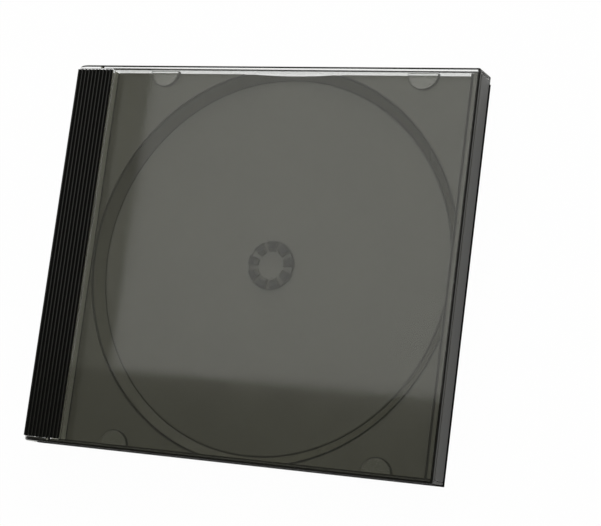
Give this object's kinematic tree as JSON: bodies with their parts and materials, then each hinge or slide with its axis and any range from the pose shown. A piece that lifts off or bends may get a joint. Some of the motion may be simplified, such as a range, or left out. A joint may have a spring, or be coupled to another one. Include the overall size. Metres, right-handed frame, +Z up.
{
  "type": "cd case",
  "caption": "Hinged case for a compact disc: clear front and back covers round a dark tray with a ribbed hinge strip, a round disc recess and a toothed hub that grips the disc.",
  "frame": {"origin": "middle of the underside of the closed case, lying on its back cover", "axes": "+X from the hinge to the opening edge, +Y across the case, +Z up through the front cover"},
  "size_m": [0.142, 0.125, 0.01],
  "materials": {
    "clear_front": "clear polished polystyrene",
    "clear_back": "clear polished polystyrene",
    "tray": "dark moulded polystyrene, satin"
  },
  "bodies": {
    "base": {"back_cover": "clear_back", "disc_tray": "tray"},
    "lid": {"front_cover": "clear_front"}
  },
  "joints": [
    {"name": "lid_hinge", "type": "hinge", "parent": "base", "child": "lid", "pos_m": [-0.067, 0, 0.005], "axis": [0, -1, 0], "range_deg": [0, 180]}
  ]
}
